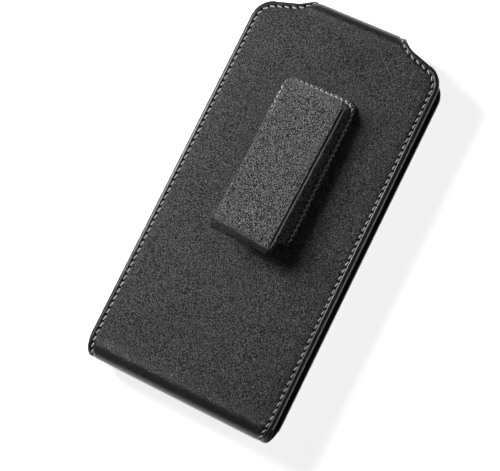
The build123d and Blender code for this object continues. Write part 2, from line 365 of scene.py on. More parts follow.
def tube(first, rings, sides):
    """The faces of a tube with closed ends, made of rings of points numbered from first on."""
    faces = []
    for k in range(rings - 1):
        for j in range(sides):
            a, b = first + k * sides + j, first + k * sides + (j + 1) % sides
            faces.append((a, a + sides, b + sides, b))
    last = first + (rings - 1) * sides
    return faces + [tuple(range(first, first + sides)), tuple(reversed(range(last, last + sides)))]


def filled(points, n):
    """Triangles over the points, inside the closed edge that the first n of them make."""
    edges = [(i, (i + 1) % n) for i in range(n)]
    _, _, tris, origins, _, _ = delaunay_2d_cdt([Vector(p) for p in points], edges, [], 1, 1e-6)
    return [tuple(origins[i][0] for i in tri) for tri in tris]


def inside(points, ring):
    """Which points are inside a closed ring."""
    x, y = points[:, 0], points[:, 1]
    count = np.zeros(len(points), int)
    for a, b in zip(ring, np.roll(ring, -1, axis=0)):
        crosses = (a[1] > y) != (b[1] > y)
        if crosses.any():
            at = a[0] + (y[crosses] - a[1]) * (b[0] - a[0]) / (b[1] - a[1])
            count[crosses] += x[crosses] < at
    return count % 2 == 1


def around_holes(holes):
    """Points close round each needle hole, for its dimple."""
    found = [holes]
    for radius, n in ((0.22, 6), (0.45, 8), (0.75, 10)):
        for k in range(n):
            angle = 2 * math.pi * k / n
            found.append(holes + radius * np.array([math.cos(angle), math.sin(angle)]))
    return np.concatenate(found)


def panel(name, edge, section, thick, relief, holes=None, seam=False, rim=0.4,
          loops=(0.65, 0.95, 1.25, 1.55, 1.85, 2.2, 2.7, 3.3, 4.0), step=0.75, flat_step=2.6, back_loops=(),
          sharp=50):
    """A sheet with rounded edges, laid along a section.

    edge is its outline, drawn flat and anticlockwise; with seam, a straight cut joins its ends.
    relief(points) gives the outer face's height and the facts for its material.
    thick is a number, or a function of the flat points."""
    free = spaced(edge, step)
    into = inward(free)
    if seam:
        across = spaced([free[-1], free[0]], 2.0)[1:-1]
        ring = np.concatenate([free, across])
        directions = np.concatenate([into, 0 * across])
    else:
        ring, directions = free[:-1], into[:-1]
        ends = into[0] + into[-1]
        directions[0] = ends / np.linalg.norm(ends)
    n = len(ring)
    border = ring + directions * rim
    fine_edge = spaced(edge, 0.2)
    edge_tree = tree_of(fine_edge)
    ring_tree = tree_of(border)
    fine_into = inward(fine_edge)

    def cover(lines, hole_points):
        extra = []
        for distance in lines:
            line = spaced(fine_edge + fine_into * distance, step)
            extra.append(line[away(line, edge_tree) > distance - 0.06])
        last = max(lines) if lines else rim
        rows = section.rows(ring[:, 1].min(), ring[:, 1].max(), flat_step, 0.65)
        columns = np.arange(-half, half + 0.1, 2.4)
        lattice = np.array([(x, v) for v in rows for x in columns])
        extra.append(lattice[away(lattice, edge_tree) > last + 0.6])
        extra = np.concatenate(extra)
        extra = extra[inside(extra, border)]
        if hole_points is not None:
            extra = extra[away(extra, tree_of(hole_points)) > 0.95]
            close = around_holes(hole_points)
            extra = np.concatenate([extra, close[inside(close, border)]])
        if seam:
            extra = extra[np.abs(extra[:, 1] - free[0, 1]) > 0.3]
        return extra[away(extra, ring_tree) > 0.22]

    outer = np.concatenate([border, cover(loops, holes)])
    inner = np.concatenate([border, cover(back_loops, None)])
    height, facts = relief(outer)

    def depth(points):
        return thick(points) if callable(thick) else np.full(len(points), float(thick))

    flats = [outer]
    heights = [height]
    steps = 6
    rim_depth = depth(border)
    for k in range(1, steps):
        angle = math.pi * k / steps
        t = (1 - math.cos(angle)) / 2
        flats.append(ring + directions * rim * (1 - math.sin(angle)))
        heights.append(height[:n] * (1 - t) - rim_depth * t)
    flats.append(inner)
    heights.append(-depth(inner))
    starts = np.cumsum([0] + [len(f) for f in flats])
    faces = filled(outer, n)
    for a, b in zip(starts[:-2], starts[1:-1]):
        for i in range(n):
            j = (i + 1) % n
            faces.append((a + j, a + i, b + i, b + j))
    faces += [tuple(int(starts[-2]) + i for i in reversed(tri)) for tri in filled(inner, n)]
    flat = np.concatenate(flats)
    tall = np.concatenate(heights)
    values = {"flat": np.column_stack([flat, tall])}
    for fact, value in {"cut": np.zeros(len(outer)), **facts}.items():
        rest = np.zeros(len(flat) - len(outer))
        if fact == "cut":
            rest[:n * (steps - 1)] = 1.0
        values[fact] = np.concatenate([value, rest])
    faces = [tuple(int(i) for i in face) for face in faces]
    return finished(name, section.place(flat[:, 0], flat[:, 1], tall), faces, values, sharp)


def threads(name, rows, section, lift, radius=thread_radius):
    """Stitches between needle holes: slanted, two-stranded, diving into a hole at each end."""
    around, along = 8, 14
    points, flats, faces = [], [], []
    s = np.linspace(0, 1, along + 1)
    for row in rows:
        for a, b in zip(row[:-1], row[1:]):
            ahead = (b - a) / np.linalg.norm(b - a)
            left = np.array([-ahead[1], ahead[0]])
            aside = stitch_slant * (1 - 2 * smooth((s - 0.25) / 0.75))
            line = a + np.outer(s, b - a) + np.outer(aside, left)
            arch = smooth(np.sin(math.pi * s) / 0.88)
            h = lift(line) - thread_dive * (1 - arch)
            middle = section.place(line[:, 0], line[:, 1], h)
            up = section.place(line[:, 0], line[:, 1], h + 1.0) - middle
            forward = np.gradient(middle, axis=0)
            forward /= np.linalg.norm(forward, axis=1)[:, None]
            side = np.cross(forward, up)
            side /= np.linalg.norm(side, axis=1)[:, None]
            up = np.cross(side, forward)
            for k in range(along + 1):
                taper = 1.0 if 0 < k < along else 0.75
                for j in range(around):
                    angle = 2 * math.pi * j / around
                    strand = 1 + 0.12 * math.cos(2 * angle - 5.0 * math.pi * s[k])
                    r = radius * strand * taper
                    points.append(middle[k] + r * (math.cos(angle) * side[k] + math.sin(angle) * up[k]))
                    flats.append((s[k] * stitch_pitch, angle * radius, len(points) % 7))
            faces += tube(len(points) - (along + 1) * around, along + 1, around)
    return finished(name, points, faces, {"flat": flats}, 80)


# ---- materials

class Nodes:
    """A short way to write a material's nodes."""

    def __init__(self, name):
        self.material = bpy.data.materials.new(name)
        self.material.use_nodes = True
        self.tree = self.material.node_tree
        self.tree.nodes.clear()
        self.shader = self.add("ShaderNodeBsdfPrincipled")
        output = self.add("ShaderNodeOutputMaterial")
        self.tree.links.new(self.shader.outputs[0], output.inputs["Surface"])

    def add(self, kind, **settings):
        node = self.tree.nodes.new(kind)
        for key, value in settings.items():
            setattr(node, key, value)
        return node

    def put(self, socket, value):
        """A number, a colour or another node's output into a socket."""
        if isinstance(value, bpy.types.NodeSocket):
            self.tree.links.new(value, socket)
        else:
            socket.default_value = value

    def set(self, node, **inputs):
        for key, value in inputs.items():
            self.put(node.inputs[key.replace("_", " ")], value)
        return node

    def fact(self, name, part="Vector"):
        return self.add("ShaderNodeAttribute", attribute_name=name).outputs[part]

    def here(self):
        return self.add("ShaderNodeTexCoord").outputs["Object"]

    def noise(self, where, scale, detail=3.0, roughness=0.55):
        node = self.set(self.add("ShaderNodeTexNoise"), Vector=where, Scale=scale)
        return self.set(node, Detail=detail, Roughness=roughness).outputs["Fac"]

    def cells(self, where, scale):
        node = self.add("ShaderNodeTexVoronoi", feature="SMOOTH_F1")
        return self.set(node, Vector=where, Scale=scale).outputs["Distance"]

    def math(self, kind, a, b=0.0, c=0.0, node_kind="ShaderNodeMath"):
        node = self.add(node_kind, operation=kind)
        for socket, value in zip(node.inputs, (a, b, c)):
            self.put(socket, value)
        return node.outputs[0]

    def times(self, a, b):
        return self.math("MULTIPLY", a, b)

    def fit(self, value, low, high, new_low=0.0, new_high=1.0):
        node = self.add("ShaderNodeMapRange")
        self.set(node, Value=value, From_Min=low, From_Max=high, To_Min=new_low, To_Max=new_high)
        return node.outputs["Result"]

    def blend(self, share, first, second):
        """A colour between two, each a colour or a socket."""
        node = self.add("ShaderNodeMix", data_type="RGBA")
        for index, value in ((0, share), (6, first), (7, second)):
            self.put(node.inputs[index], value)
        return node.outputs[2]

    def bump(self, height, distance):
        node = self.set(self.add("ShaderNodeBump"), Height=height, Distance=distance * mm)
        return node.outputs["Normal"]


def grey(value, warm=0.0):
    return (value * (1 + warm), value, value * (1 - warm), 1.0)


def leather_material(name, tone, grain, depth, rough, shine, pit):
    """Black leather: fine pebbled grain, uneven dye, burnished rims and folds lightened as a painted
    highlight, painted edges, needle holes darkened as painted shade.
    grain is a pebble's size in mm, and pit the share of tone and shine left between pebbles."""
    n = Nodes(name)
    flat = n.fact("flat")
    warp = n.set(n.add("ShaderNodeTexNoise"), Vector=flat, Scale=1.3 / grain, Detail=1.0)
    most = (grain * 0.6,) * 3
    shifted = n.math("MULTIPLY_ADD", warp.outputs["Color"], most, flat, "ShaderNodeVectorMath")
    pebbles = n.cells(shifted, 1.0 / grain)
    pores = n.noise(flat, 1.5 / grain, 1.0, 0.5)
    patches = n.noise(flat, 0.055, 3.0, 0.5)
    mottle = n.noise(flat, 0.35, 2.0, 0.5)
    burnish_and_highlight = n.times(n.fact("rim", "Fac"), 0.85)
    kept = n.math("SUBTRACT", 1.0, burnish_and_highlight)
    cut, painted_hole_shade = n.fact("cut", "Fac"), n.fact("painted_hole_shade", "Fac")
    raw = n.math("MULTIPLY_ADD", pebbles, -1.0, n.times(pores, 1.1))
    height = n.times(raw, kept)
    peak = n.fit(raw, -0.04, 0.34)
    colour = n.blend(peak, grey(tone * pit), grey(tone * (2.2 - pit)))
    uneven = n.fit(n.math("ADD", patches, n.times(mottle, 0.5)), 0.5, 1.0, 0.0, 0.5)
    colour = n.blend(uneven, colour, grey(tone * 1.5))
    # Painted highlight: the rim mask lightens rims, margins and folds to stand for the gloss they catch;
    # their smoother grain and lower roughness are the real burnish.
    colour = n.blend(n.times(burnish_and_highlight, 0.8), colour, grey(tone * 2.3))
    # Dark edge paint on the cut edges; on the clip's turned-down end this darkening is painted shade.
    colour = n.blend(cut, colour, grey(0.006))
    # Painted shade: the needle holes are darkened as if in shadow.
    colour = n.blend(painted_hole_shade, colour, grey(0.002))
    gloss = n.math("ADD", n.times(mottle, 0.5), n.times(patches, 0.7))
    n.set(n.shader, Base_Color=colour, Normal=n.bump(height, depth))
    spread = n.fit(gloss, 0.4, 0.8, rough + 0.06, rough - 0.06)
    n.set(n.shader, Roughness=n.math("MULTIPLY_ADD", burnish_and_highlight, -0.14, spread))
    sparkle = n.fit(n.math("POWER", peak, 3.0), 0.0, 1.0, shine * pit * 0.6, shine * (3.6 - pit))
    level = n.math("MULTIPLY_ADD", sparkle, kept, n.times(burnish_and_highlight, shine * 0.45))
    dull = n.math("MAXIMUM", n.times(painted_hole_shade, 0.95), n.times(cut, 0.8))
    n.set(n.shader, Specular_IOR_Level=n.times(level, n.math("SUBTRACT", 1.0, dull)))
    return n.material


def cloth_material(name, tone, thread_size):
    """A fine plain-woven cloth with a short nap."""
    n = Nodes(name)
    flat = n.fact("flat")
    split = n.set(n.add("ShaderNodeSeparateXYZ"), Vector=flat)
    turn = 2 * math.pi / thread_size
    warp = n.math("SINE", n.times(split.outputs["X"], turn))
    weft = n.math("SINE", n.times(split.outputs["Y"], turn))
    weave = n.times(warp, weft)
    nap = n.noise(flat, 3.0, 4.0, 0.7)
    height = n.math("MULTIPLY_ADD", weave, 0.35, nap)
    colour = n.blend(n.fit(height, 0.1, 0.9), grey(tone * 0.6), grey(tone * 1.5))
    n.set(n.shader, Base_Color=colour, Normal=n.bump(height, 0.10))
    n.set(n.shader, Roughness=0.9, Sheen_Weight=0.4, Sheen_Roughness=0.5, Specular_IOR_Level=0.2)
    return n.material


def thread_material(name, dark, light):
    """Grey polyester thread with fibres along its twist."""
    n = Nodes(name)
    flat = n.fact("flat")
    split = n.set(n.add("ShaderNodeSeparateXYZ"), Vector=flat)
    across = n.times(split.outputs["X"], 9.0)
    fibres = n.math("SINE", n.math("MULTIPLY_ADD", split.outputs["Y"], 26.0, across))
    fuzz = n.noise(flat, 5.0, 2.0)
    height = n.math("MULTIPLY_ADD", fibres, 0.4, fuzz)
    colour = n.blend(n.fit(height, 0.0, 1.0), grey(dark), grey(light))
    n.set(n.shader, Base_Color=colour, Normal=n.bump(height, 0.03))
    n.set(n.shader, Roughness=0.5, Specular_IOR_Level=0.5, Sheen_Weight=0.2)
    return n.material


def paint_material():
    """Edge paint: dark, smooth and slightly lumpy over the cut layers."""
    n = Nodes("edge_paint")
    where = n.here()
    lumps = n.noise(where, 900.0, 2.0)
    fine = n.noise(where, 3500.0, 2.0)
    height = n.math("MULTIPLY_ADD", fine, 0.3, lumps)
    colour = n.blend(n.fit(lumps, 0.3, 0.7), grey(0.012), grey(0.026))
    n.set(n.shader, Base_Color=colour, Normal=n.bump(height, 0.06))
    n.set(n.shader, Roughness=n.fit(fine, 0.3, 0.7, 0.32, 0.46), Specular_IOR_Level=0.28)
    return n.material


def board_material():
    """Grey fibreboard, pressed and slightly mottled."""
    n = Nodes("board")
    where = n.here()
    fibre = n.noise(where, 2500.0, 4.0, 0.7)
    colour = n.blend(n.fit(fibre, 0.3, 0.7), grey(0.03), grey(0.06))
    n.set(n.shader, Base_Color=colour, Normal=n.bump(fibre, 0.05), Roughness=0.85)
    return n.material


def metal_material(name, tone, rough, brushed, warm=0.0):
    """Plated or bare metal with fine scratches along one direction."""
    n = Nodes(name)
    where = n.here()
    scale = (4000.0, 4000.0 / brushed, 4000.0)
    stretched = n.set(n.add("ShaderNodeMapping"), Vector=where, Scale=scale)
    scratches = n.noise(stretched.outputs[0], 1.0, 2.0)
    stains = n.noise(where, 300.0, 3.0)
    colour = n.blend(n.fit(stains, 0.3, 0.7), grey(tone * 0.8, warm), grey(tone, warm))
    n.set(n.shader, Base_Color=colour, Metallic=1.0, Normal=n.bump(scratches, 0.01))
    n.set(n.shader, Roughness=n.fit(stains, 0.3, 0.7, rough + 0.08, rough - 0.04))
    return n.material


def floor_material():
    n = Nodes("floor")
    where = n.here()
    paper = n.fit(n.noise(where, 40.0, 3.0), 0.3, 0.7)
    n.set(n.shader, Base_Color=n.blend(paper, grey(0.84), grey(0.88)), Roughness=0.6)
    n.set(n.shader, Specular_IOR_Level=0.2, Emission_Color=grey(1.0), Emission_Strength=0.82)
    return n.material


case_leather = leather_material("case_leather", tone=0.013, grain=0.34, depth=0.28, rough=0.36,
                                shine=0.84, pit=0.30)
clip_leather = leather_material("clip_leather", tone=0.034, grain=0.37, depth=0.52, rough=0.37,
                                shine=2.35, pit=0.06)
pocket_material = cloth_material("lining_cloth", 0.035, 0.35)
elastic_material = cloth_material("elastic_webbing", 0.022, 0.30)
sewing = thread_material("thread", 0.34, 0.80)
patch_sewing = thread_material("patch_thread_grey", 0.42, 0.85)
edge_paint = paint_material()
fibreboard = board_material()
spring_steel = metal_material("spring_steel", 0.45, 0.30, 30.0)
keeper_steel = metal_material("keeper_steel", 0.50, 0.35, 1.0)
nickel = metal_material("magnet_nickel", 0.62, 0.22, 1.0, 0.03)
rivet_steel = metal_material("rivet_steel", 0.55, 0.30, 1.0)


def coat(thing, material):
    thing.data.materials.clear()
    thing.data.materials.append(material)


def dress(piece, material):
    coat(piece, material)


# ---- the leather's face

def rows_of_holes():
    """Needle holes along the wrap's and the flap's edges, each row starting beside the seam."""
    found = []
    for edge in (wrap_edge(), flap_edge()):
        line = inset_line(edge, stitch_inset, 0.1)
        length = lengths(line)[-1]
        count = round((length - stitch_pitch) / stitch_pitch)
        margin = (length - count * stitch_pitch) / 2
        found.append(points_at(line, margin + stitch_pitch * np.arange(count + 1)))
    return found


wrap_holes, flap_holes = rows_of_holes()
all_edges = tree_of(np.concatenate([spaced(wrap_edge(), 0.2), spaced(flap_edge(), 0.2)]))
hole_tree = tree_of(np.concatenate([wrap_holes, flap_holes]))


def sink(v):
    """How much deeper the row lies on the flap, whose face the case rests on."""
    return 0.24 * smooth((v - 84.0) / 5.0)


def face_relief(points):
    """The leather's own shape: raised margin, sewn groove, padded back, dimples at the holes."""
    d, r = away(points, all_edges), away(points, hole_tree)
    x, v = points.T
    on_back = smooth((v + 76.0) / 8.0) * smooth((80.0 - v) / 8.0)
    margin = 0.08 - 0.42 * (np.clip(1.3 - d, 0, None) / 1.3) ** 2
    margin -= 0.50 * (np.clip(0.7 - d, 0, None) / 0.7) ** 2
    groove = -(groove_depth + sink(v)) * smooth((d - 1.3) / 0.55) * smooth((3.5 - d) / 1.4)
    crown = on_back * 0.34 * smooth((d - 2.1) / 5.5)
    waves = np.sin(x / 9.1 + 1.0) * np.sin(v / 12.7) + 0.6 * np.sin(x / 5.3 - v / 7.9)
    swell = on_back * 0.05 * waves * smooth((d - 4.0) / 8.0)
    dimple = -0.42 * bell(r, 0.40)
    # the padding is pressed down under the clip and the belt
    beside = np.hypot(np.clip(np.abs(x) - 16.5, 0, None), np.clip(np.abs(v - 19.8) - 31.8, 0, None))
    dent = on_back * -0.26 * (1 - smooth(beside / 13.0))
    height = -0.12 + margin + groove + crown + swell + dimple + dent
    bottom_bend = smooth((v - front_v(bottom + bottom_radius)) / 3.0) * smooth((bottom + 10.8 - v) / 8.5)
    top_bend = smooth((v - fold_y + 2.5) / 5.0) * smooth((fold_y + fold_length + 1.0 - v) / 3.0)
    facts = {
        # painted highlight: margins and folds are lightened in colour, and their grain is burnished smooth
        "rim": np.maximum(smooth((2.0 - d) / 0.5), np.maximum(bottom_bend, top_bend)),
        # painted shade in the needle holes
        "painted_hole_shade": smooth((0.78 - r) / 0.22),
        "cut": smooth((0.52 - d) / 0.28),
    }
    return height, facts


def row_lift(points):
    """The height of the thread's middle over the leather line."""
    return thread_rise - groove_depth - sink(points[:, 1])


def wrap_leather():
    """One piece of leather: front panel, bottom, back panel and the fold, to the spine's middle."""
    piece = panel("wrap_leather", wrap_edge(), wrap_line, leather, face_relief, wrap_holes, seam=True)
    dress(piece, case_leather)
    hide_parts("outer_wrap")
    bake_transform(piece)


def flap_leather():
    """The same leather from the spine's middle, round the front fold to the tongue's tip."""
    piece = panel("flap_leather", flap_edge(), wrap_line, leather, face_relief, flap_holes, seam=True)
    dress(piece, case_leather)
    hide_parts("spine_leather", "tongue_leather")
    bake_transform(piece)


def edge_stitches():
    """The rows along the wrap and the flap; the stitches over the seam go with the wrap."""
    first = np.concatenate([flap_holes[-1:], wrap_holes, flap_holes[:1]])
    wrap = threads("wrap_stitches", [first], wrap_line, row_lift)
    dress(wrap, sewing)
    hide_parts("back_thread", "front_thread")
    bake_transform(wrap)
    flap = threads("flap_stitches", [flap_holes], wrap_line, row_lift)
    dress(flap, sewing)
    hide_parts("tongue_thread")
    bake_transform(flap)


wrap_leather()
flap_leather()
edge_stitches()


# ---- linings, boards and edges

def plain(points):
    """No relief."""
    return np.zeros(len(points)), {}


def lining_half(v):
    """Half the pocket lining's width: drawn in over the bottom, and inside the leather's neck."""
    y, _ = lining_line.at(v)
    on_leather = v + smooth((v - fold_y) / 5.0) * (fold_length - 1.5 * math.pi)
    edge = back_top()
    order = np.argsort(edge[:, 1])
    neck = np.interp(on_leather, edge[order, 1], edge[order, 0])
    return np.minimum(np.minimum(lining_wide, side_at(y) - 0.9), neck - 0.35)


def lining_edge():
    """The lining's outline, with the thumb scoop at its front end, to the spine's middle."""
    first = lining_line.start
    radius = 6.0
    corner = arc((lining_wide - radius, first + radius), radius, -90, 0)
    v = np.linspace(first + radius + 0.2, lining_line.v, 700)
    side = np.stack([lining_half(v), v], axis=1)
    return mirrored(np.concatenate([scoop(first), corner, side]))


def pocket_lining():
    piece = panel("pocket_cloth", lining_edge(), lining_line, cloth, weave_relief, seam=True,
                  rim=0.2, loops=(0.6, 1.4), step=1.2)
    dress(piece, pocket_material)
    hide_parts("pocket_lining", "spine_lining")
    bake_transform(piece)


def weave_relief(points):
    """Cloth pulled a little unevenly over its board."""
    x, v = points.T
    return 0.03 * np.sin(x / 6.1) * np.sin(v / 8.3) - 0.03, {}


def tongue_lining_section():
    """The flap lining's outer face: down the spine, round the fold and along the board."""
    inner = spine_y - leather
    line = Section(0, inner, spine_middle_z, -90)
    radius = fold_radius - leather
    line.run(spine_middle_z - leather - radius).bend(radius, 90)
    rise, curve, turn = board, 1.0, 35.0             # up onto the board's end
    slope = (rise - 2 * curve * (1 - math.cos(math.radians(turn)))) / math.sin(math.radians(turn))
    line.bend(curve, turn).run(slope).bend(-curve, -turn)
    return line.run(line.y - tongue_tip)


def tongue_lining():
    """Cloth on the flap's inside, with the magnets showing through as faint discs."""
    line = tongue_lining_section()
    inset = 0.35
    edge = flap_edge()
    shorter = line.v - inset - (wrap_line.v - seam_v)
    on_flat = smooth((edge[:, 1] - seam_v) / (tongue_v - seam_v))
    drawn = np.column_stack([edge[:, 0], edge[:, 1] - seam_v + on_flat * shorter])
    drawn[:, 0] *= (tongue_half - inset) / tongue_half
    magnets_x = (high("flap_magnets", 0) - low("flap_magnets", 0)) / 2
    radius = (high("flap_magnets", 1) - low("flap_magnets", 1)) / 2
    magnet_y = low("flap_magnets", 1) + radius
    magnet_v = line.v - (magnet_y - tongue_tip)
    thin, swell = 0.5, 0.12

    def thickness(points):
        x, v = points.T
        r = np.hypot(np.abs(x) - (magnets_x - radius), v - magnet_v)
        return thin + swell * smooth((radius + 0.6 - r) / 0.8)

    piece = panel("flap_cloth", drawn, line, thickness, plain, seam=True, rim=0.2,
                  loops=(0.6, 1.4), step=1.0, flat_step=1.2)
    dress(piece, pocket_material)
    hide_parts("tongue_lining")
    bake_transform(piece)


def bead(name, edge, section, top, bottom_h, proud, body):
    """Edge paint: a low rounded bead along a board's cut edge, between two heights."""
    line = spaced(edge, 0.7)
    out = -inward(line)
    profile = []
    for angle in np.linspace(0, math.pi, 9):
        h = (top + bottom_h) / 2 + (top - bottom_h) / 2 * math.cos(angle)
        profile.append((proud * math.sin(angle), h))
    profile += [(-0.5, bottom_h + 0.05), (-0.5, top - 0.05)]
    points = []
    for aside, h in profile:
        wobble = 0.03 * np.sin(np.arange(len(line)) * 0.9 + 3 * h) * (aside > 0.05)
        flat = line + out * (aside + wobble)[:, None]
        points.append(section.place(flat[:, 0], flat[:, 1], np.full(len(flat), h)))
    points = np.stack(points, axis=1).reshape(-1, 3)
    # The profile runs the other way round than a stitch's rings, so each face is turned over
    faces = [face[:1] + face[:0:-1] for face in tube(0, len(line), len(profile))]
    piece = finished(name, points, faces, {}, 60)
    dress(piece, edge_paint)
    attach(piece, body)


def cut_edges():
    """Edge paint on the back board, the front board and the flap's board."""
    fold_start = fold_y - 0.3
    flat_low = bottom + bottom_radius
    wrap = wrap_edge()
    right = wrap[len(wrap) // 2:]
    on_back = (right[:, 1] > flat_low) & (right[:, 1] < fold_start)
    on_front = right[:, 1] < front_v(flat_low)
    top, low_h = -0.40, -leather - board - 0.45
    back_side = right[on_back]
    case_edges = {
        "back_edge_paint_right": back_side,
        "back_edge_paint_left": (back_side * (-1, 1))[::-1],
        "front_edge_paint": mirrored(right[on_front]),
    }
    for name, edge in case_edges.items():
        bead(name, edge, wrap_line, top, low_h, 0.30, "case")
    flap = flap_edge()
    flap = flap[flap[:, 1] > tongue_v + 3.0]
    bead("flap_edge_paint", flap, wrap_line, -0.5, -leather - board - 0.05, 0.20, "flap_tongue")


def cad_finishes():
    """Better materials on the CAD nodes that are shown as they are."""
    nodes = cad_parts
    for node in ("back_board", "front_board", "tongue_board"):
        coat(nodes[node], fibreboard)
    coat(nodes["keeper_discs"], keeper_steel)
    coat(nodes["flap_magnets"], nickel)
    coat(nodes["clip_rivets"], rivet_steel)


def gusset(side):
    """Elastic webbing across one side of the pocket, ribbed, bowed out and hemmed at its ends."""
    hand = "right" if side > 0 else "left"
    node = "gusset_" + hand
    y0, y1 = low(node, 1), high(node, 1)
    z0, z1 = low(node, 2) - 0.1, high(node, 2) + 0.1
    outer = high("gusset_right", 0)
    thick = outer - low("gusset_right", 0)
    y = np.linspace(y0, y1, round((y1 - y0) / 0.2) + 1)
    z = np.linspace(z0, z1, 15)
    yy, zz = np.meshgrid(y, z, indexing="ij")
    t = (zz - z0) / (z1 - z0)
    from_end = np.minimum(yy - y0, y1 - yy)
    ribs = 0.07 * np.sin(2 * math.pi * yy / 0.8)
    hem = 0.25 * smooth((2.6 - from_end) / 0.5)
    bow = 1.0 * np.sin(math.pi * t) ** 0.8 * (0.55 + 0.45 * smooth(from_end / 12.0))
    face = outer - 0.35 + bow + ribs + hem
    behind = outer - thick - 0.1 + bow * 0.9 - ribs
    layers = [np.stack([side * x, yy, zz], axis=2).reshape(-1, 3) for x in (face, behind)]
    n, m = yy.shape
    faces = []
    for layer, turned in ((0, side < 0), (n * m, side > 0)):
        for i in range(n - 1):
            for j in range(m - 1):
                a = layer + i * m + j
                quad = (a, a + m, a + m + 1, a + 1)
                faces.append(quad[::-1] if turned else quad)
    border = [i * m for i in range(n)] + [(n - 1) * m + j for j in range(1, m)]
    border += [i * m + m - 1 for i in reversed(range(n - 1))] + [j for j in reversed(range(1, m - 1))]
    for a, b in zip(border, border[1:] + border[:1]):
        quad = (b, a, n * m + a, n * m + b)
        faces.append(quad if side > 0 else quad[::-1])
    flat = np.column_stack([zz.ravel(), yy.ravel(), 0 * zz.ravel()])
    facts = {"flat": np.concatenate([flat, flat + (0, 0, 1)])}
    piece = finished("elastic_" + hand, np.concatenate(layers), faces, facts, 60)
    dress(piece, elastic_material)
    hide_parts(node)
    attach(piece, "case")


pocket_lining()
tongue_lining()
cut_edges()
cad_finishes()
gusset(1)
gusset(-1)


# ---- the belt clip

clip_half = high("clip_outer_cover", 0) - 0.45
clip_radius = 3.2            # over the top of the bend
spring_radius = 2.4
clip_tilt = 3.4              # degrees that the leaf rises towards its open end
clip_askew = -1.0            # degrees the sewn clip is turned on the case
clip_shift = -0.5
clip_skew = 0.075            # how much further down the fold at its end lies on the right
clip_corner = 4.0
clip_thick = 1.4             # leather
spring_thick = 0.8
spring_half = high("clip_leaf_spring", 0)
bend_y = high("clip_bend_cover", 1) + 0.7 - clip_radius
bend_z = back_z + 9.0 - clip_radius
clip_brow_y = low("clip_outer_cover", 1) + 2.9        # where the leaf's end turns down
leaf_thick = 2 * clip_thick + spring_thick
patch_top = high("clip_patch", 1)
patch_low = low("clip_patch", 1)
patch_half = high("clip_patch", 0)
patch_z = high("clip_patch", 2)


def leaf_point(along, up):
    """Y and Z of a point on the leaf: millimetres from the bend, and above its outer face."""
    tilt = math.radians(clip_tilt)
    out = clip_radius + up
    y = bend_y + out * math.sin(tilt) - along * math.cos(tilt)
    return y, bend_z + out * math.cos(tilt) + along * math.sin(tilt)


def clip_section():
    """The clip cover's outer face: the turned-down end, the leaf, then over the bend."""
    lip, face, brow, slope = 0.7, 2.9, 1.1, 42.0
    turned = 180 - slope

    def turned_end(y, z):
        return Section(0, y, z, 180 - clip_tilt).bend(lip, turned).run(face).bend(brow, slope)

    probe = turned_end(0, 0)
    run = (bend_y - clip_brow_y) / math.cos(math.radians(clip_tilt))
    end = leaf_point(run, 0)
    line = turned_end(end[0] - probe.y, end[1] - probe.z)
    brow_v = line.v
    line.run(run).bend(clip_radius, 90 - clip_tilt)
    return line.run(line.z - back_z - 0.9), run, brow_v


def askew(piece, aside=0.0):
    """The clip as it was sewn: turned a little on the case, the fold at its end not quite square."""
    turn = math.radians(clip_askew)
    points = np.empty(3 * len(piece.data.vertices))
    piece.data.vertices.foreach_get("co", points)
    points = points.reshape(-1, 3)
    x, y = points[:, 0] / mm, points[:, 1] / mm
    y = y - clip_skew * x * np.interp(y, [clip_brow_y - 3.0, clip_brow_y, bend_y], [0.0, 1.0, 0.0])
    points[:, 0] = (clip_shift + aside + x * math.cos(turn) - (y - bend_y) * math.sin(turn)) * mm
    points[:, 1] = (bend_y + x * math.sin(turn) + (y - bend_y) * math.cos(turn)) * mm
    piece.data.vertices.foreach_set("co", points.ravel())
    piece.data.update()
    return piece


clip_line, leaf_run, brow_v = clip_section()


def rounded(wide, low_v, high_v, radii):
    """A closed rectangle, 2 x wide across, with each corner turned into an arc."""
    points = [(-wide, low_v), (wide, low_v), (wide, high_v), (-wide, high_v)]
    found = []
    for i, radius in enumerate(radii):
        before, corner, after = (np.array(points[(i + k) % 4], float) for k in (-1, 0, 1))
        a = corner + (before - corner) / np.linalg.norm(before - corner) * radius
        b = corner + (after - corner) / np.linalg.norm(after - corner) * radius
        for t in np.linspace(0, 1, 9):
            found.append((1 - t) ** 2 * a + 2 * t * (1 - t) * corner + t**2 * b)
    return np.array(found + found[:1])


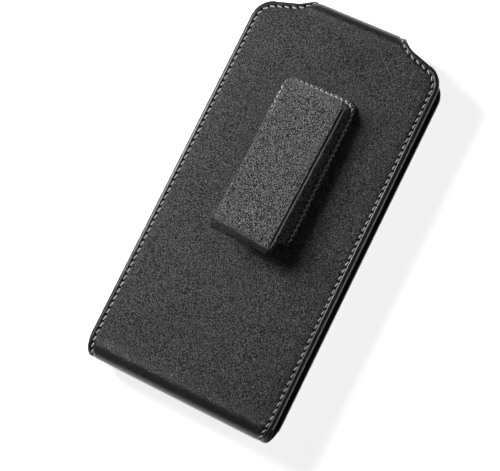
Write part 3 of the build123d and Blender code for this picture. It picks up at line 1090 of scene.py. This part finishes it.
def clip_cover():
    """Leather over the clip's leaf: turned under at the open end, over the bend, into the patch."""
    end_corner = 0.8
    v = np.linspace(end_corner, clip_line.v - end_corner, 240)
    y, _ = clip_line.at(v)
    past = np.clip(y - (bend_y + clip_radius - clip_corner), 0, clip_corner)
    narrower = math.sqrt(clip_corner**2 + 0.5) - np.sqrt(clip_corner**2 - past**2 + 0.5)
    side = np.stack([clip_half - narrower, v], axis=1)
    first = arc(side[0] - (end_corner, 0), end_corner, -90, 0)
    last = arc(side[-1] - (end_corner, 0), end_corner, 0, 90)
    right = np.concatenate([first, side[1:-1], last])
    edge = np.concatenate([right, (right * (-1, 1))[::-1], right[:1]])

    def relief(points):
        d = away(points, tree)
        x, v = points.T
        droop = -0.16 * bell(d, 0.55)
        pillow = 0.10 * smooth(d / 9.0)
        swell = 0.05 * np.sin(x / 4.3 + 0.5) * np.sin(v / 6.7)
        crease = -0.10 * bell(v - crease_v, 0.5)
        turned_down = smooth((brow_v + 0.4 - v) / 0.8)
        # Painted highlight along the clip's rubbed edge; the turned-down end is darkened as painted shade
        # through cut, its grain smoothed through rim.
        rubbed_and_highlight = 0.35 * smooth((0.75 - d) / 0.4)
        facts = {"rim": rubbed_and_highlight + 0.8 * turned_down, "cut": 0.75 * turned_down}
        return droop + pillow + swell + crease, facts

    tree = tree_of(spaced(edge, 0.2))
    crease_v = brow_v + 0.3
    skived = brow_v - 1.0

    def thickness(points):
        return 0.6 + (clip_thick - 0.6) * smooth((points[:, 1] - skived) / 3.0)

    piece = panel("clip_leather", edge, clip_line, thickness, relief, rim=0.45,
                  loops=(0.8, 1.3, 2.0, 3.0), step=0.7, flat_step=1.4)
    dress(askew(piece), clip_leather)
    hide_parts("clip_outer_cover", "clip_bend_cover")
    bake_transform(piece)


def under_leather():
    """Leather on the leaf's inner face, from the bend to under the cover's turned edge."""
    start, stop = clip_corner, leaf_run + 1.2
    y, z = leaf_point(start, -leaf_thick)
    line = Section(0, y, z, 180 - clip_tilt).run(stop - start)
    wide = clip_half + 0.7
    edge = rounded(wide, 0, line.v, (1.5, 1.5, 1.2, 1.2))

    def relief(points):
        d = away(points, tree)
        # Painted highlight: the under leather's edges are lightened, their grain smoothed.
        return -0.25 * bell(d, 0.7), {"rim": bell(d, 0.8)}

    tree = tree_of(spaced(edge, 0.2))
    piece = panel("clip_under_leather", edge, line, clip_thick, relief, rim=0.45,
                  loops=(0.8, 1.3, 2.0), step=0.8)
    dress(askew(piece, 0.8), clip_leather)
    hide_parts("clip_inner_cover")
    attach(piece, "clip_leaf")


def spring_strip():
    """The clip's steel spring: the leaf, the bend and the riveted leg, one bent strip."""
    length = leaf_run + 0.3
    y, z = leaf_point(length, -clip_thick)
    inside_cover = clip_radius - clip_thick - spring_radius
    line = Section(0, y, z, -clip_tilt)
    line.run(length + inside_cover).bend(spring_radius, 90 - clip_tilt)
    line.run(line.z - back_z - spring_radius).bend(spring_radius, 90)
    line.run(line.y - low("clip_base_spring", 1))
    wide = spring_half + 0.9
    edge = rounded(wide, 0, line.v, (2.0, 2.0, 3.0, 3.0))
    piece = panel("clip_spring", edge, line, spring_thick, plain, rim=0.35, loops=(0.7,), step=1.2)
    dress(askew(piece, 0.45), spring_steel)
    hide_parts("clip_base_spring", "clip_leaf_spring")
    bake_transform(piece)


def patch():
    """The sewn leather patch over the spring's leg, hollow underneath."""
    line = Section(patch_low, patch_low, patch_z, 0).run(patch_top - patch_low)
    edge = rounded(patch_half, patch_low, patch_top, (2.5, 2.5, 7.0, 7.0))
    inset, pitch = 1.25, 2.2
    row = inset_line(edge, inset, 0.1)
    row = row[row[:, 1] > patch_low + 2.0]
    cut = int(np.argmax(np.linalg.norm(np.diff(row, axis=0), axis=1))) + 1
    row = spaced(np.concatenate([row[cut:], row[:cut]]), pitch)
    tree = tree_of(spaced(edge, 0.2))
    holes = tree_of(row)
    thick = patch_z - back_z

    def relief(points):
        d, r = away(points, tree), away(points, holes)
        groove = -0.22 * bell(d - inset, 0.35)
        crown = 0.10 * smooth((d - 1.3) / 2.0)
        dimple = -0.45 * bell(r, 0.42)
        # Painted highlight on the patch's rim and painted shade in its needle holes.
        facts = {"rim": 0.3 * bell(d - 0.2, 0.5), "painted_hole_shade": smooth((0.70 - r) / 0.2)}
        return groove + crown + dimple - 0.06, facts

    def thickness(points):
        return thick - 1.22 * smooth((away(points, tree) - 3.2) / 0.5)

    piece = panel("clip_base_patch", edge, line, thickness, relief, row, rim=0.4,
                  loops=(0.7, 1.0, 1.25, 1.6, 2.2, 3.2), back_loops=(3.1, 3.8), step=0.6)
    dress(piece, clip_leather)
    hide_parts("clip_patch")
    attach(piece, "case")

    def lift(points):
        return np.full(len(points), thread_rise)

    stitches = threads("patch_stitches", [row], line, lift, radius=0.32)
    dress(stitches, patch_sewing)
    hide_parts("patch_thread")
    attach(stitches, "case")


clip_cover()
under_leather()
spring_strip()
patch()


# ---- floor, light and view

def floor():
    reach = 3.0
    corners = [(-reach, -reach, 0), (reach, -reach, 0), (reach, reach, 0), (-reach, reach, 0)]
    data = bpy.data.meshes.new("floor")
    data.from_pydata(corners, [], [(0, 1, 2, 3)])
    data.materials.append(floor_material())
    placed("floor", data)


def softbox(name, direction, distance, size, power):
    """A square area light aimed at the case."""
    aim = Vector((0, 0, back_z * mm))
    data = bpy.data.lights.new(name, "AREA")
    data.shape = "SQUARE"
    data.size = size
    data.energy = power
    light = placed(name, data)
    light.location = aim + Vector(direction).normalized() * distance
    light.rotation_euler = (light.location - aim).to_track_quat("Z", "Y").to_euler()


def sky(strength):
    world = bpy.data.worlds.new("studio")
    world.use_nodes = True
    light = world.node_tree.nodes["Background"].inputs
    light["Color"].default_value = grey(1.0)
    light["Strength"].default_value = strength
    bpy.context.scene.world = world


def camera():
    """The case seen from above its right side, turned on the surface it lies on."""
    azimuth, elevation, roll = (math.radians(a) for a in (69.165, 75.003, -43.444))
    distance = 568.9 * mm
    aim = Vector((-0.61 * mm, -13.60 * mm, back_z * mm))
    back = Vector((
        math.sin(azimuth) * math.cos(elevation),
        -math.cos(azimuth) * math.cos(elevation),
        math.sin(elevation),
    ))
    data = bpy.data.cameras.new("camera")
    data.sensor_width = 36.0
    data.lens = 104.4
    data.clip_start, data.clip_end = 0.01, 20.0
    view = placed("camera", data)
    view.rotation_mode = "QUATERNION"
    level = (-back).to_track_quat("-Z", "Y").to_matrix()
    view.location = aim + back * distance
    view.rotation_quaternion = (level @ Matrix.Rotation(roll, 3, "Z")).to_quaternion()
    bpy.context.scene.camera = view


floor()
softbox("key", (-0.735, 0.145, 0.64), distance=0.31, size=0.15, power=1.66)
softbox("fill", (0.90, 0.10, 0.40), distance=0.9, size=0.4, power=0.65)
sky(0.02)
camera()
bpy.context.scene.view_settings.view_transform = "Standard"
